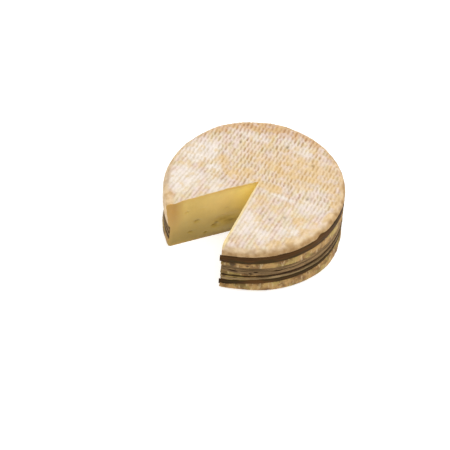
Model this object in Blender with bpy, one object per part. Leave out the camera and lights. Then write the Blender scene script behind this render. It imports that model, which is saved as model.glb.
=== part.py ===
"""A washed-rind wheel of soft cheese with one wedge cut out of it, bound with five sedge straps.

Metres, +Z up. The wheel stands on its flat foot at z = 0, and the middle of its box is at x = y = 0.
The wedge was cut out towards -Y, straight down through the rind, the paste and every strap.
"""
import math

import bpy
import bmesh
from mathutils import Vector

# The wheel
WHEEL_RADIUS = 0.0600
WHEEL_HEIGHT = 0.0405
TOP_ROUNDING = 0.0042
FOOT_ROUNDING = 0.0030
STRAP_GROOVE = 0.0009
LIP_HEIGHT = 0.0007
OUT_OF_ROUND = ((3, 0.00050, 1.74), (7, 0.00008, 2.10))
RIM_WAVES = ((2, 0.00018, 1.30), (5, 0.00012, 0.40))

# The wedge, cut from a point close to the wheel's axis
CUT_POINT = (0.0006, 0.0026)
LEFT_CUT_DEGREES = 247.0
RIGHT_CUT_DEGREES = 293.0
CUTTER_REACH = 0.100
CUTTER_MARGIN = 0.010

# The straps: flat blades of dried sedge, each with a narrow gap to the rind it presses on
STRAP_THICKNESS = 0.0005
STRAP_EDGE_THICKNESS = 0.00032
STRAP_GAP = 0.0003
STRAP_SIDE_GAP = 0.0003
DIP_SPREAD_DEGREES = 17.0
HUMP_DEGREES = 82.0
HUMP_SPREAD_DEGREES = 40.0
SAG_SPREAD_DEGREES = 60.0

# How finely the shapes are stepped
COLUMNS = 84
FOOT_STEPS = 4
TOP_STEPS = 5
TOP_RINGS = (0.68, 0.36)
SIDE_SAMPLES = 720


class Strap:
    """One strap. From its level it dips by `dip` at the right-hand cut, where it is `cut_width` wide,
    climbs by `rise` over a hump a little way round from there, and sags by `sag` at the left-hand cut.
    """

    def __init__(self, name, level, dip, rise, sag, width, cut_width, colour):
        self.name = name
        self.level = level
        self.dip = dip
        self.rise = rise
        self.sag = sag
        self.width = width
        self.cut_width = cut_width
        self.colour = colour

    def edges(self, angle):
        """Heights of the lower and the upper edge at an angle round the wheel."""
        near_cut, near_hump, near_sag = nearness(angle)
        middle = self.level - self.dip * near_cut + self.rise * near_hump - self.sag * near_sag
        half = (self.width + (self.cut_width - self.width) * near_cut) / 2
        return middle - half, middle + half


STRAPS = (
    Strap("strap_bottom", level=0.0113, dip=0.0057, rise=0.0002, sag=0.0020, width=0.0033, cut_width=0.0050,
          colour=(0.076, 0.050, 0.025)),
    Strap("strap_pale", level=0.0139, dip=0.0047, rise=0.0004, sag=0.0020, width=0.0017, cut_width=0.0018,
          colour=(0.205, 0.150, 0.078)),
    Strap("strap_thin", level=0.0156, dip=0.0042, rise=0.0014, sag=0.0020, width=0.0010, cut_width=0.0011,
          colour=(0.085, 0.058, 0.032)),
    Strap("strap_middle", level=0.0193, dip=0.0009, rise=0.0018, sag=0.0020, width=0.0060, cut_width=0.0050,
          colour=(0.153, 0.105, 0.052)),
    Strap("strap_top", level=0.0307, dip=0.0043, rise=0.0038, sag=0.0070, width=0.0064, cut_width=0.0058,
          colour=(0.066, 0.038, 0.014)),
)

RIND_COLOUR = (0.799, 0.631, 0.462)


def nearness(angle):
    """How near an angle is to the right-hand cut, to the straps' hump and to the left-hand cut, where
    they sag: 1 there, 0 far from it. Across the notch the first and the last pass into each other.
    """
    travelled = (math.degrees(angle) - RIGHT_CUT_DEGREES) % 360.0
    past_left_cut = travelled - (LEFT_CUT_DEGREES + 360.0 - RIGHT_CUT_DEGREES)
    near_hump = math.exp(-((travelled - HUMP_DEGREES) / HUMP_SPREAD_DEGREES) ** 2)
    if past_left_cut > 0.0:
        across_notch = past_left_cut / (RIGHT_CUT_DEGREES - LEFT_CUT_DEGREES)
        return across_notch, near_hump, 1.0 - across_notch
    near_sag = math.exp(-(past_left_cut / SAG_SPREAD_DEGREES) ** 2)
    return math.exp(-travelled / DIP_SPREAD_DEGREES), near_hump, near_sag


def waves(angle, terms):
    return sum(size * math.sin(count * angle + phase) for count, size, phase in terms)


def side_radius(height):
    """The rind's outline between the straps: a straight side with a rounded rim and foot."""
    above = height - (WHEEL_HEIGHT - TOP_ROUNDING)
    if above > 0.0:
        return WHEEL_RADIUS - TOP_ROUNDING + math.sqrt(max(0.0, TOP_ROUNDING ** 2 - above ** 2))
    below = FOOT_ROUNDING - height
    if below > 0.0:
        return WHEEL_RADIUS - FOOT_ROUNDING + math.sqrt(max(0.0, FOOT_ROUNDING ** 2 - below ** 2))
    return WHEEL_RADIUS


def wheel_point(radius, height, angle):
    """A point of the wheel, with the real wheel's small unevenness laid over its round outline."""
    grown = radius * (1.0 + waves(angle, OUT_OF_ROUND) / WHEEL_RADIUS)
    lifted = height * (1.0 + waves(angle, RIM_WAVES) / WHEEL_HEIGHT * (radius / WHEEL_RADIUS) ** 2)
    return Vector((grown * math.cos(angle), grown * math.sin(angle), lifted))


def rind_between(low, high):
    """Two points of the rind that swells out between heights low and high, where no strap holds it."""
    lip = min(LIP_HEIGHT, (high - low) / 3)
    pressed = STRAP_GROOVE * (1.0 - lip / LIP_HEIGHT)
    return [(side_radius(height) - pressed, height) for height in (low + lip, high - lip)]


def wheel_outline(angle):
    """Radius and height of each point from the foot's edge up the side to the top, at an angle."""
    edges = [strap.edges(angle) for strap in STRAPS]
    foot_top = edges[0][0] - LIP_HEIGHT
    rim_start = edges[-1][1] + LIP_HEIGHT
    outline = []
    for step in range(FOOT_STEPS + 1):
        height = foot_top * (1.0 - math.cos(math.radians(90.0 * step / FOOT_STEPS)))
        outline.append((side_radius(height), height))
    for place, (low, high) in enumerate(edges):
        if place > 0:
            outline += rind_between(edges[place - 1][1], low)
        outline += [(side_radius(height) - STRAP_GROOVE, height) for height in (low, high)]
    for step in range(TOP_STEPS + 1):
        rise = math.sin(math.radians(90.0 * step / TOP_STEPS))
        height = rim_start + (WHEEL_HEIGHT - rim_start) * rise
        outline.append((side_radius(height), height))
    return outline


def column_angles():
    return [2 * math.pi * (column + 0.5) / COLUMNS for column in range(COLUMNS)]


def bridge(mesh, lower, upper):
    """Joins two rings, listed the same way round, with faces that point outwards."""
    count = len(lower)
    for place in range(count):
        after = (place + 1) % count
        mesh.faces.new((lower[place], lower[after], upper[after], upper[place]))


def fan(mesh, ring, centre, upwards):
    count = len(ring)
    for place in range(count):
        after = (place + 1) % count
        corners = (ring[place], ring[after], centre)
        mesh.faces.new(corners if upwards else corners[::-1])


def build_wheel(mesh):
    """The uncut wheel: rings up the side from the foot, then rings inwards over the top."""
    angles = column_angles()
    outlines = [wheel_outline(angle) for angle in angles]
    rings = []
    for row in range(len(outlines[0])):
        rings.append([mesh.verts.new(wheel_point(*outline[row], angle))
                      for angle, outline in zip(angles, outlines)])
    for share in TOP_RINGS:
        rings.append([mesh.verts.new(wheel_point(WHEEL_RADIUS * share, WHEEL_HEIGHT, angle))
                      for angle in angles])
    for lower, upper in zip(rings, rings[1:]):
        bridge(mesh, lower, upper)
    fan(mesh, rings[0], mesh.verts.new((0.0, 0.0, 0.0)), upwards=False)
    fan(mesh, rings[-1], mesh.verts.new((0.0, 0.0, WHEEL_HEIGHT)), upwards=True)


def strap_section(strap, angle):
    """The blade's section, anticlockwise seen from behind: thin edges and a thicker middle."""
    low, high = strap.edges(angle)
    low += STRAP_SIDE_GAP / 2
    high -= STRAP_SIDE_GAP / 2
    middle = (low + high) / 2
    inside = STRAP_GAP - STRAP_GROOVE
    return ((side_radius(low) + inside, low),
            (side_radius(low) + inside + STRAP_EDGE_THICKNESS, low),
            (side_radius(middle) + inside + STRAP_THICKNESS, middle),
            (side_radius(high) + inside + STRAP_EDGE_THICKNESS, high),
            (side_radius(high) + inside, high))


def build_strap(mesh, strap):
    """The uncut strap: its section carried once round the wheel."""
    angles = column_angles()
    sections = [strap_section(strap, angle) for angle in angles]
    rings = []
    for corner in range(len(sections[0])):
        rings.append([mesh.verts.new(wheel_point(*section[corner], angle))
                      for angle, section in zip(angles, sections)])
    for lower, upper in zip(rings, rings[1:] + rings[:1]):
        bridge(mesh, lower, upper)


def build_cutter(mesh):
    """The wedge that comes out, as a prism taller and longer than the wheel."""
    point = Vector((*CUT_POINT, 0.0))
    corners = [point]
    for degrees in (LEFT_CUT_DEGREES, RIGHT_CUT_DEGREES):
        angle = math.radians(degrees)
        corners.append(point + CUTTER_REACH * Vector((math.cos(angle), math.sin(angle), 0.0)))
    low = [mesh.verts.new((corner.x, corner.y, -CUTTER_MARGIN)) for corner in corners]
    high = [mesh.verts.new((corner.x, corner.y, WHEEL_HEIGHT + CUTTER_MARGIN)) for corner in corners]
    mesh.faces.new(low[::-1])
    mesh.faces.new(high)
    bridge(mesh, low, high)


def add_object(name, build, axis, *details):
    mesh = bmesh.new()
    build(mesh, *details)
    data = bpy.data.meshes.new(name)
    mesh.to_mesh(data)
    mesh.free()
    piece = bpy.data.objects.new(name, data)
    bpy.context.scene.collection.objects.link(piece)
    piece.parent = axis
    return piece


def cut(piece, cutter):
    boolean = piece.modifiers.new("wedge", "BOOLEAN")
    boolean.operation = "DIFFERENCE"
    boolean.solver = "EXACT"
    boolean.object = cutter


def finish(name, piece, colour, roughness):
    material = bpy.data.materials.new(name)
    material.use_nodes = True
    shader = material.node_tree.nodes["Principled BSDF"]
    shader.inputs["Base Color"].default_value = (*colour, 1.0)
    shader.inputs["Roughness"].default_value = roughness
    shader.inputs["Metallic"].default_value = 0.0
    piece.data.materials.append(material)


def cut_corner(degrees):
    """Where a cut leaves the wheel's side: its angle round the wheel's axis."""
    along = Vector((math.cos(math.radians(degrees)), math.sin(math.radians(degrees))))
    point = Vector(CUT_POINT)
    inward = point.dot(along)
    reach = math.sqrt(inward ** 2 - point.length_squared + WHEEL_RADIUS ** 2) - inward
    corner = point + reach * along
    return math.atan2(corner.y, corner.x)


def axis_place():
    """Where the wheel's axis stands, so that the box round the cut wheel is centred on the origin."""
    first = cut_corner(RIGHT_CUT_DEGREES)
    last = cut_corner(LEFT_CUT_DEGREES) + 2 * math.pi
    side = [wheel_point(WHEEL_RADIUS, WHEEL_HEIGHT / 2, first + (last - first) * step / SIDE_SAMPLES)
            for step in range(SIDE_SAMPLES + 1)]
    middle = [(min(values) + max(values)) / 2 for values in zip(*side)]
    return Vector((-middle[0], -middle[1], 0.0))


def main():
    for old in list(bpy.data.objects):
        bpy.data.objects.remove(old, do_unlink=True)
    axis = bpy.data.objects.new("wheel_axis", None)
    bpy.context.scene.collection.objects.link(axis)
    axis.location = axis_place()
    cutter = add_object("wedge_cutter", build_cutter, axis)
    cutter.hide_render = True
    cutter.display_type = "WIRE"
    cheese = add_object("cheese", build_wheel, axis)
    cut(cheese, cutter)
    finish("rind", cheese, RIND_COLOUR, roughness=0.7)
    for strap in STRAPS:
        piece = add_object(strap.name, build_strap, axis, strap)
        cut(piece, cutter)
        finish(strap.name, piece, strap.colour, roughness=0.6)
    for piece in bpy.data.objects:
        if piece.type == "MESH" and piece is not cutter:
            piece.data.shade_smooth()
            piece.data.set_sharp_from_angle(angle=math.radians(35.0))


main()
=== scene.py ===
"""Looks for a small washed-rind cheese with a wedge cut out, bound with five straps of dried sedge.

Metres, +Z up. The wheel's rind and paste are one sculpted piece, cut with a wavy wedge, and each strap
is a leaf or a bundle of fibres laid in the groove that it presses into the rind.
"""
import itertools
import math

import bpy
import numpy as np
from mathutils import Matrix, Vector


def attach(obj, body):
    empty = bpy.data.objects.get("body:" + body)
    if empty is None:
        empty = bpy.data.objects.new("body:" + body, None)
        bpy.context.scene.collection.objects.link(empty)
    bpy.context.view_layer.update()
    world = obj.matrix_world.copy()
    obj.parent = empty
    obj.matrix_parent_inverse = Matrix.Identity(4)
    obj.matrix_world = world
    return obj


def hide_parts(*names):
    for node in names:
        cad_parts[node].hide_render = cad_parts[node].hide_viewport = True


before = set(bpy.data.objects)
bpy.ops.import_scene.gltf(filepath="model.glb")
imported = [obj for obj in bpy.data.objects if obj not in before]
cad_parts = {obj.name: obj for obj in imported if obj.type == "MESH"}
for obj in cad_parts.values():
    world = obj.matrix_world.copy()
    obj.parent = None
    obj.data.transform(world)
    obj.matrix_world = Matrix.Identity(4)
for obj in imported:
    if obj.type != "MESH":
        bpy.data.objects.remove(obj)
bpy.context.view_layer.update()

# The wheel
WHEEL_AXIS = (-0.00056, -0.00233)
WHEEL_RADIUS = 0.0600
WHEEL_HEIGHT = 0.0405
TOP_ROUNDING = 0.0042
FOOT_ROUNDING = 0.0030
FRAME_COLUMNS = 84
CUT_POINT = (0.0006, 0.0026)
LEFT_CUT_DEGREES = 247.0
RIGHT_CUT_DEGREES = 293.0

# The straps, from the foot up, and the groove that they lie in
STRAPS = ("strap_bottom", "strap_pale", "strap_thin", "strap_middle", "strap_top")
GROOVE_DEPTH = 0.0009
LIP_WIDTH = 0.0008

# The draining mat's print in the rind
RIDGE_PITCH = 0.00265
RIDGE_DEGREES = 109.4
RIDGE_LEAN = 0.10
DASH_LENGTH = 0.0056
DASH_SLANT = -0.30
RIDGE_HEIGHT = 0.00060

# How finely the wheel is stepped
WALL_COLUMNS = 640
TOP_CELL_ACROSS = 0.00042
TOP_CELL_ALONG = 0.00084
FOOT_CELL = 0.0012
TOP_RING = 0.0010
RING_GAP = 0.0005
CUT_CELL = 0.0008

# How far the knife reaches past the wheel: round its back, and below and above it
KNIFE_MARGIN_ROUND = 0.012
KNIFE_MARGIN = 0.003

# One millimetre, for the lists of small measures
MM = 0.001

# Light that reaches a level face, so that a colour can be given as it should show
LIGHT_ON_TOP = 1.3
LIGHT_ON_RIM = 1.15
LIGHT_ON_SIDE = 0.95
LIGHT_ON_CUT = 0.85


def shown(red, green, blue, light=LIGHT_ON_TOP):
    """The surface colour that shows as this screen colour, 0 to 255, under that much light."""
    linear = []
    for value in (red, green, blue):
        value /= 255.0
        value = value / 12.92 if value <= 0.04045 else ((value + 0.055) / 1.055) ** 2.4
        linear.append(min(0.95, value / light))
    return (*linear, 1.0)


def on_side(*rgb):
    return shown(*rgb, light=LIGHT_ON_SIDE)


def on_cut(*rgb):
    return shown(*rgb, light=LIGHT_ON_CUT)


# Helpers: noise, soft steps and points

def lattice_value(cells, seed):
    """An even random value from -1 to 1 for each whole-number place."""
    mixed = cells[:, 0] * 73856093 ^ cells[:, 1] * 19349663 ^ cells[:, 2] * 83492791 ^ seed * 39916801
    mixed = (mixed ^ (mixed >> 13)) * 1274126177
    mixed = mixed ^ (mixed >> 16)
    return (mixed & 0xFFFF) / 32767.5 - 1.0


def soft_noise(points, size, seed):
    """Smooth noise from -1 to 1 over points (n, 3), with lumps of about that size."""
    cells = np.asarray(points) / size
    base = np.floor(cells).astype(np.int64)
    part = cells - base
    part = part * part * (3.0 - 2.0 * part)
    total = np.zeros(len(cells))
    for corner in itertools.product((0, 1), repeat=3):
        share = np.prod(np.where(corner, part, 1.0 - part), axis=1)
        total += share * lattice_value(base + np.array(corner), seed)
    return total


def rough_noise(points, size, seed, layers=3):
    """Soft noise with finer and weaker layers over it."""
    total = np.zeros(len(points))
    for layer in range(layers):
        total += soft_noise(points, size / 2 ** layer, seed + 7 * layer) / 2 ** layer
    return total


def soft_step(low, high, values):
    share = np.clip((values - low) / (high - low), 0.0, 1.0)
    return share * share * (3.0 - 2.0 * share)


def flat_points(x, y):
    return np.stack([x, y, np.zeros_like(x)], axis=1)


def turned(x, y, degrees):
    """The same places, measured along a direction and across it."""
    turn = math.radians(degrees)
    return x * math.cos(turn) + y * math.sin(turn), y * math.cos(turn) - x * math.sin(turn)


def get_points(piece):
    points = np.zeros(len(piece.data.vertices) * 3)
    piece.data.vertices.foreach_get("co", points)
    return points.reshape(-1, 3)


def set_points(piece, points):
    piece.data.vertices.foreach_set("co", np.asarray(points, dtype=np.float32).ravel())
    piece.data.update()


def add_values(piece, name, values):
    attribute = piece.data.attributes.new(name, "FLOAT", "POINT")
    attribute.data.foreach_set("value", np.asarray(values, dtype=np.float32))


def polar(points):
    """Angle and distance from the wheel's axis."""
    x = points[:, 0] - WHEEL_AXIS[0]
    y = points[:, 1] - WHEEL_AXIS[1]
    return np.arctan2(y, x), np.hypot(x, y)


# The wheel's outline and the straps' courses, read from the frame

def read_columns(name, measure):
    """Measures a node's corners at each of the frame's columns: the angles and the measures."""
    points = get_points(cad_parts[name])
    angle, distance = polar(points)
    angles, measures = [], []
    for column in range(FRAME_COLUMNS):
        place = 2 * math.pi * (column + 0.5) / FRAME_COLUMNS
        near = np.abs((angle - place + math.pi) % (2 * math.pi) - math.pi) < 0.004
        if near.sum() > 8:
            angles.append(place)
            measures.append(measure(points[near], distance[near]))
    return np.array(angles), np.array(measures)


def read_course(name, measure):
    """Measures a strap in the same way, and carries its course on past its two cut ends."""
    angles, measures = read_columns(name, measure)
    travelled = (angles - math.radians(RIGHT_CUT_DEGREES)) % (2 * math.pi)
    order = np.argsort(travelled)
    angles, measures = angles[order], measures[order]
    column = 2 * math.pi / FRAME_COLUMNS
    before = 2 * measures[0] - measures[1]
    after = 2 * measures[-1] - measures[-2]
    angles = np.concatenate([[angles[0] - column], angles, [angles[-1] + column]])
    return angles, np.concatenate([[before], measures, [after]])


def around(reading, angle):
    return np.interp(angle, *reading, period=2 * math.pi)


REACH = read_columns("cheese", lambda points, distance: distance.max())
TOP_HEIGHT = read_columns("cheese", lambda points, distance: points[:, 2].max())
STRAP_LOW = {name: read_course(name, lambda points, distance: points[:, 2].min()) for name in STRAPS}
STRAP_HIGH = {name: read_course(name, lambda points, distance: points[:, 2].max()) for name in STRAPS}

OUTLINE_FOOT = math.pi / 2 * FOOT_ROUNDING
OUTLINE_SIDE = WHEEL_HEIGHT - TOP_ROUNDING - FOOT_ROUNDING
OUTLINE_LENGTH = OUTLINE_FOOT + OUTLINE_SIDE + math.pi / 2 * TOP_ROUNDING

# Where the side swells out: angle, spread in degrees, size
SWELLED_SIDES = ((68.0, 18.0, 0.0008),)


def degrees_off(angle, degrees):
    """How many degrees an angle lies from a place round the wheel, the shorter way."""
    return (np.degrees(angle) - degrees + 180.0) % 360.0 - 180.0


def hump(angle, degrees, spread):
    """A soft hump round the wheel: 1 at its place, less to both sides."""
    return np.exp(-(degrees_off(angle, degrees) / spread) ** 2)


def grown(angle, radius):
    """The wheel isn't quite round: the real distance for a place on the round outline."""
    reach = around(REACH, angle)
    for degrees, spread, size in SWELLED_SIDES:
        reach = reach + size * hump(angle, degrees, spread)
    return radius * reach / WHEEL_RADIUS


def lifted(angle, radius, height):
    """The wheel's rim isn't quite level: the real height for a place on the level outline."""
    uneven = around(TOP_HEIGHT, angle) / WHEEL_HEIGHT - 1.0
    return height * (1.0 + uneven * (radius / WHEEL_RADIUS) ** 2)


def outline_at(length):
    """Radius, height and outward direction on the outline, from the foot's inner edge up and over."""
    foot = np.clip(length, 0.0, OUTLINE_FOOT) / FOOT_ROUNDING
    side = np.clip(length - OUTLINE_FOOT, 0.0, OUTLINE_SIDE)
    rim = np.clip(length - OUTLINE_FOOT - OUTLINE_SIDE, 0.0, math.pi / 2 * TOP_ROUNDING) / TOP_ROUNDING
    beyond = np.maximum(length - OUTLINE_LENGTH, 0.0)
    radius = (WHEEL_RADIUS - FOOT_ROUNDING * (1.0 - np.sin(foot)) - TOP_ROUNDING * (1.0 - np.cos(rim))
              - beyond)
    height = FOOT_ROUNDING * (1.0 - np.cos(foot)) + side + TOP_ROUNDING * np.sin(rim)
    outward = np.sin(foot) * np.cos(rim)
    upward = np.sin(rim) - np.cos(foot)
    return radius, height, outward, upward


def outline_length(height):
    """The place on the outline that has this height."""
    foot = np.arccos(np.clip(1.0 - height / FOOT_ROUNDING, 0.0, 1.0)) * FOOT_ROUNDING
    side = np.clip(height - FOOT_ROUNDING, 0.0, OUTLINE_SIDE)
    above = np.clip((height - WHEEL_HEIGHT + TOP_ROUNDING) / TOP_ROUNDING, 0.0, 1.0)
    return foot + side + np.arcsin(above) * TOP_ROUNDING


def overhang(angle, height):
    """On the left the rim stands out over the side, which draws in below it."""
    drawn_in = 0.0007 * soft_step(0.0, 0.008, height) * soft_step(0.026, 0.020, height)
    return hump(angle, 224.0, 22.0) * (0.0003 * soft_step(0.029, 0.035, height) - drawn_in)


def side_radius(angle, height):
    """The rind's real radius at a real height, with no groove or relief."""
    level = height * WHEEL_HEIGHT / around(TOP_HEIGHT, angle)
    return grown(angle, outline_at(outline_length(level))[0]) + overhang(angle, height)


# The top strap's lump: angle, spread in degrees, rise
TOP_STRAP_LUMP = (0.5, 3.2, 0.0014)
# How far the lowest straps' two edges sag beside the right-hand cut
FRONT_SAG = {"strap_bottom": (0.0014, 0.0014), "strap_pale": (0.0012, 0.0008)}


def strap_edges(name, angle):
    low, high = around(STRAP_LOW[name], angle), around(STRAP_HIGH[name], angle)
    if name == "strap_top":
        degrees, spread, rise = TOP_STRAP_LUMP
        high = high + rise * hump(angle, degrees, spread)
    if name in FRONT_SAG:
        low_drop, high_drop = FRONT_SAG[name]
        low = low - low_drop * hump(angle, -68.0, 9.0)
        high = high - high_drop * hump(angle, -62.0, 14.0)
    return low, high


def overgrown(angle):
    """Where the rind has closed over the top strap, beside the left-hand cut: 0 to 1."""
    degrees = np.degrees(angle) % 360.0
    return soft_step(205.0, 219.0, degrees) * (degrees < 270.0)


def cut_angle(radius, degrees):
    """The angle round the axis at which a cut passes this radius."""
    along = Vector((math.cos(math.radians(degrees)), math.sin(math.radians(degrees))))
    point = Vector(CUT_POINT)
    inward = point.dot(along)
    reach = np.sqrt(inward ** 2 - point.length_squared + radius ** 2) - inward
    return np.arctan2(point.y + reach * along.y, point.x + reach * along.x)


def between_cuts(share, radius=WHEEL_RADIUS):
    """The angle at a share of the way round the rind, from the right-hand cut to the left-hand one."""
    first = cut_angle(radius, RIGHT_CUT_DEGREES)
    last = cut_angle(radius, LEFT_CUT_DEGREES) % (2 * math.pi)
    return first + (last - first) * share


# The rind's relief and colours, as fields over the wheel

# Angle round the wheel and how far in from the side the mat's ridges begin to show
RIDGE_START = ((-66, 0.0020), (-45, 0.0016), (-25, 0.0024), (-5, 0.0064), (18, 0.0062), (40, 0.0026),
               (90, 0.0010), (140, 0.0008), (175, 0.0014), (215, 0.0022), (247, 0.0028))

# Angle round the wheel and how far in the rim's own colour reaches
RIM_WIDTH = ((-66, 0.0026), (-40, 0.0028), (-25, 0.0048), (40, 0.0048), (100, 0.0034), (200, 0.0040),
             (247, 0.0044))

# Patches on the top, in millimetres: x, y, half length, half width, tilt in degrees, strength
GOLD_PATCHES = (
    (2, 36, 15, 4.8, 15, 0.90), (4, 25, 8.5, 7.5, 10, 1.00), (16, 18, 12, 4, 20, 0.65),
    (-30, 0, 10, 4.5, 25, 0.90), (-17, -5, 10, 5.5, 12, 1.00), (-7, 2, 12, 4.5, 15, 0.80),
    (10, 5, 9.5, 4.2, 20, 0.85), (14, -9, 5, 5, 20, 0.50), (24, -8, 11, 3, 20, 0.35),
    (44, -4, 4.2, 4, 40, 1.00), (51, -8, 4, 2.8, 70, 0.90), (54, 1, 3, 5, 0, 0.90),
    (52, -18, 3.4, 7, -20, 0.90), (46, -30, 3.4, 7, -35, 0.85), (46, 6, 4, 2.4, 70, 0.60),
    (29, 38, 4, 3.6, 10, 0.90), (47, 28, 3.5, 7.5, 28, 0.90), (54, 14, 2.6, 8, 10, 0.90),
    (38, 42, 2.6, 8, 45, 0.75), (9, 50, 9, 4, 0, 0.45), (-54, -22, 1.8, 15, 18, 0.90),
    (-12, 16, 18, 9, 10, 0.35), (18, 36, 23, 13, 10, 0.85), (0, 28, 24, 15, 15, 0.50),
)
BROWN_PATCHES = (
    (-50, 26, 15, 6.2, 62, 1.00), (-38, 41, 14.5, 6.6, 42, 1.00), (-24, 50, 13, 6.8, 22, 1.00),
    (-6, 57, 14, 4.6, 4, 1.00), (-57, 8, 2.2, 14, -6, 0.60), (-31, -49, 5, 3.2, -35, 1.00),
    (20, 55, 16, 3.6, -22, 0.75), (26, -46, 6, 3.4, -20, 0.35), (35, -13, 1.6, 1.2, 20, 0.80),
)
WHITE_PATCHES = (
    (-44, -6, 15, 11, 80, 0.95), (-36, -32, 13, 11, 60, 0.90), (-29, -10, 5, 3.5, 20, 1.00),
    (-12, -20, 11, 7, 20, 0.60), (-30, 31, 14, 3, 25, 0.60), (-3, 44, 12, 4, 12, 0.60),
    (29, 23, 12, 5, 20, 0.30), (18, 3, 12, 1.4, 20, 1.00), (22, -30, 12, 12, 10, 0.60),
    (36, -30, 8, 5, -30, 0.80), (45, -16, 6, 5, 40, 0.90), (40, 12, 9, 6, 20, 0.60),
)
# Swells and hollows of the top, in millimetres: x, y, spread, height
SWELLS = ((-9.5, -17, 15, 1.2), (-22.5, -51.5, 4.2, -1.3), (-33, -47.5, 4, -0.8), (44, -6, 6, 0.5),
          (38, -26, 7, 0.4), (-14, 50, 8, -0.5))
# Small grey-brown pits, in millimetres: x, y, radius
PITS = ((33.1, 15.1, 1.2), (-9.5, 39.9, 1.4), (34.5, -8, 0.9), (29, -16, 1), (14, 40, 1), (-34, 20, 0.8))
PIT_DEPTH = 0.0005


def round_spot(x, y, middle_x, middle_y, spread):
    """A soft round spot, 1 in its middle, for points in metres and a spot in millimetres."""
    return np.exp(-((x / MM - middle_x) ** 2 + (y / MM - middle_y) ** 2) / spread ** 2)


def oval_away(aside, height, middle, level, half_width, half_height):
    """How far each point lies from the middle of an oval whose edge is at 1. The oval's level and half
    height are in millimetres, and its middle and half width are in the unit of `aside`.
    """
    return np.hypot((aside - middle) / half_width, (height / MM - level) / half_height)


def side_away(angle, height, degrees, *oval):
    """The same for an oval on the side, with its place and half width in degrees round the wheel."""
    return oval_away(degrees_off(angle, degrees), height, 0.0, *oval)


def mat_print(x, y):
    """How deep the draining mat's grooves lie at each point, 0 to 1. In front they run in long lines, and
    farther back they break into short, slightly slanted dashes.
    """
    along, across = turned(x, y, RIDGE_DEGREES)
    flat = flat_points(x, y)
    broken = soft_step(-0.016, 0.012, along + 0.006 * soft_noise(flat, 0.020, 15))
    uneven = 0.0012 * soft_noise(flat, 0.014, 13) + 0.0008 * soft_noise(flat, 0.0035, 17)
    rows = (along + uneven) / DASH_LENGTH
    row = np.floor(rows)
    in_row = rows - row
    lean = RIDGE_LEAN * soft_step(0.004, 0.030, across) * np.minimum(along, 0.0)
    drift = 0.0009 * soft_noise(flat, 0.032, 11) + 0.0003 * soft_noise(flat, 0.009, 12)
    lines = (across + lean + drift) / RIDGE_PITCH + DASH_SLANT * (0.3 + 0.7 * broken) * (in_row - 0.5)
    place = np.stack([np.floor(lines), row, np.zeros_like(row)], axis=1).astype(np.int64)
    stretch = np.stack([np.floor(lines), along / 0.010, np.zeros_like(row)], axis=1)
    strength = (0.50 + 0.26 * broken + 0.26 * broken * lattice_value(place, 6)
                + 0.14 * soft_noise(stretch, 1.0, 16))
    ends = 1.0 - 0.52 * broken * np.exp(-(np.minimum(in_row, 1.0 - in_row) / 0.12) ** 2)
    groove = (0.5 - 0.5 * np.cos(2 * math.pi * lines)) ** 1.3
    return groove * np.clip(strength * ends, 0.0, 1.1)


def ridge_share(x, y):
    """Where the mat's ridges show: all over the top but for the rim."""
    angle = np.degrees(np.arctan2(y, x))
    start = np.interp(angle, *zip(*RIDGE_START), period=360.0)
    start = start + 0.0011 * soft_noise(flat_points(x, y), 0.007, 21)
    inward = WHEEL_RADIUS - np.hypot(x, y)
    return soft_step(start - 0.0012, start + 0.0012, inward)


def lumpy_share(x, y):
    """Where the rim is lumpy: outside the ridges, mostly on the right."""
    angle = np.degrees(np.arctan2(y, x))
    side = np.interp(angle, (-66, -48, -30, 20, 45, 90, 247), (0.10, 0.35, 1.0, 1.0, 0.7, 0.35, 0.30),
                     period=360.0)
    inward = WHEEL_RADIUS - np.hypot(x, y)
    return side * soft_step(0.020, 0.008, inward)


def top_relief(x, y):
    """Heights to add to the level top."""
    flat = flat_points(x, y)
    height = RIDGE_HEIGHT * (0.45 - mat_print(x, y)) * (0.15 + 0.85 * ridge_share(x, y))
    height += 0.00045 * soft_noise(flat, 0.021, 31) + 0.00016 * soft_noise(flat, 0.008, 32)
    height += 0.00060 * lumpy_share(x, y) * rough_noise(flat, 0.0050, 33, layers=2)
    height += 0.00007 * soft_noise(flat, 0.0016, 34)
    for *spot, rise in SWELLS:
        height += rise * MM * round_spot(x, y, *spot)
    for pit in PITS:
        height -= PIT_DEPTH * round_spot(x, y, *pit)
    return height


# Bulges of the side: angle, height in millimetres, half width in degrees, half height, size. The first is
# the rim's square corner at the left-hand cut.
SIDE_BULGES = ((LEFT_CUT_DEGREES, 39.6, 11, 1.8, 4), (RIGHT_CUT_DEGREES, 1, 10, 2.2, 3),
               (10, 4.5, 15, 6, 1.3))


def crack_nearness(points):
    """Near 0 along thin lines that wander over the side."""
    return np.abs(soft_noise(points * (1.0, 1.0, 0.6), 0.0060, 44))


def side_relief(points, angle, height):
    """Depths to add to the plain side: bulges, wrinkles that run up and down, and small cracks."""
    upright = points * (1.0, 1.0, 0.28)
    depth = 0.00025 * soft_noise(points, 0.0080, 41) + 0.00016 * rough_noise(points, 0.0034, 42)
    depth += 0.00013 * soft_noise(upright, 0.0018, 43)
    depth -= 0.00025 * soft_step(0.05, 0.0, crack_nearness(points))
    depth += 0.0017 * hump(angle, LEFT_CUT_DEGREES, 11.0 / 1.4) * soft_step(0.024, 0.033, height)
    for *oval, size in SIDE_BULGES:
        depth += size * MM * np.exp(-side_away(angle, height, *oval) ** 2)
    return depth


def outside_strap(name, angle, height):
    """How far above or below a strap each point lies: less than 0 within it."""
    low, high = strap_edges(name, angle)
    return np.maximum(low - height, height - high)


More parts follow.
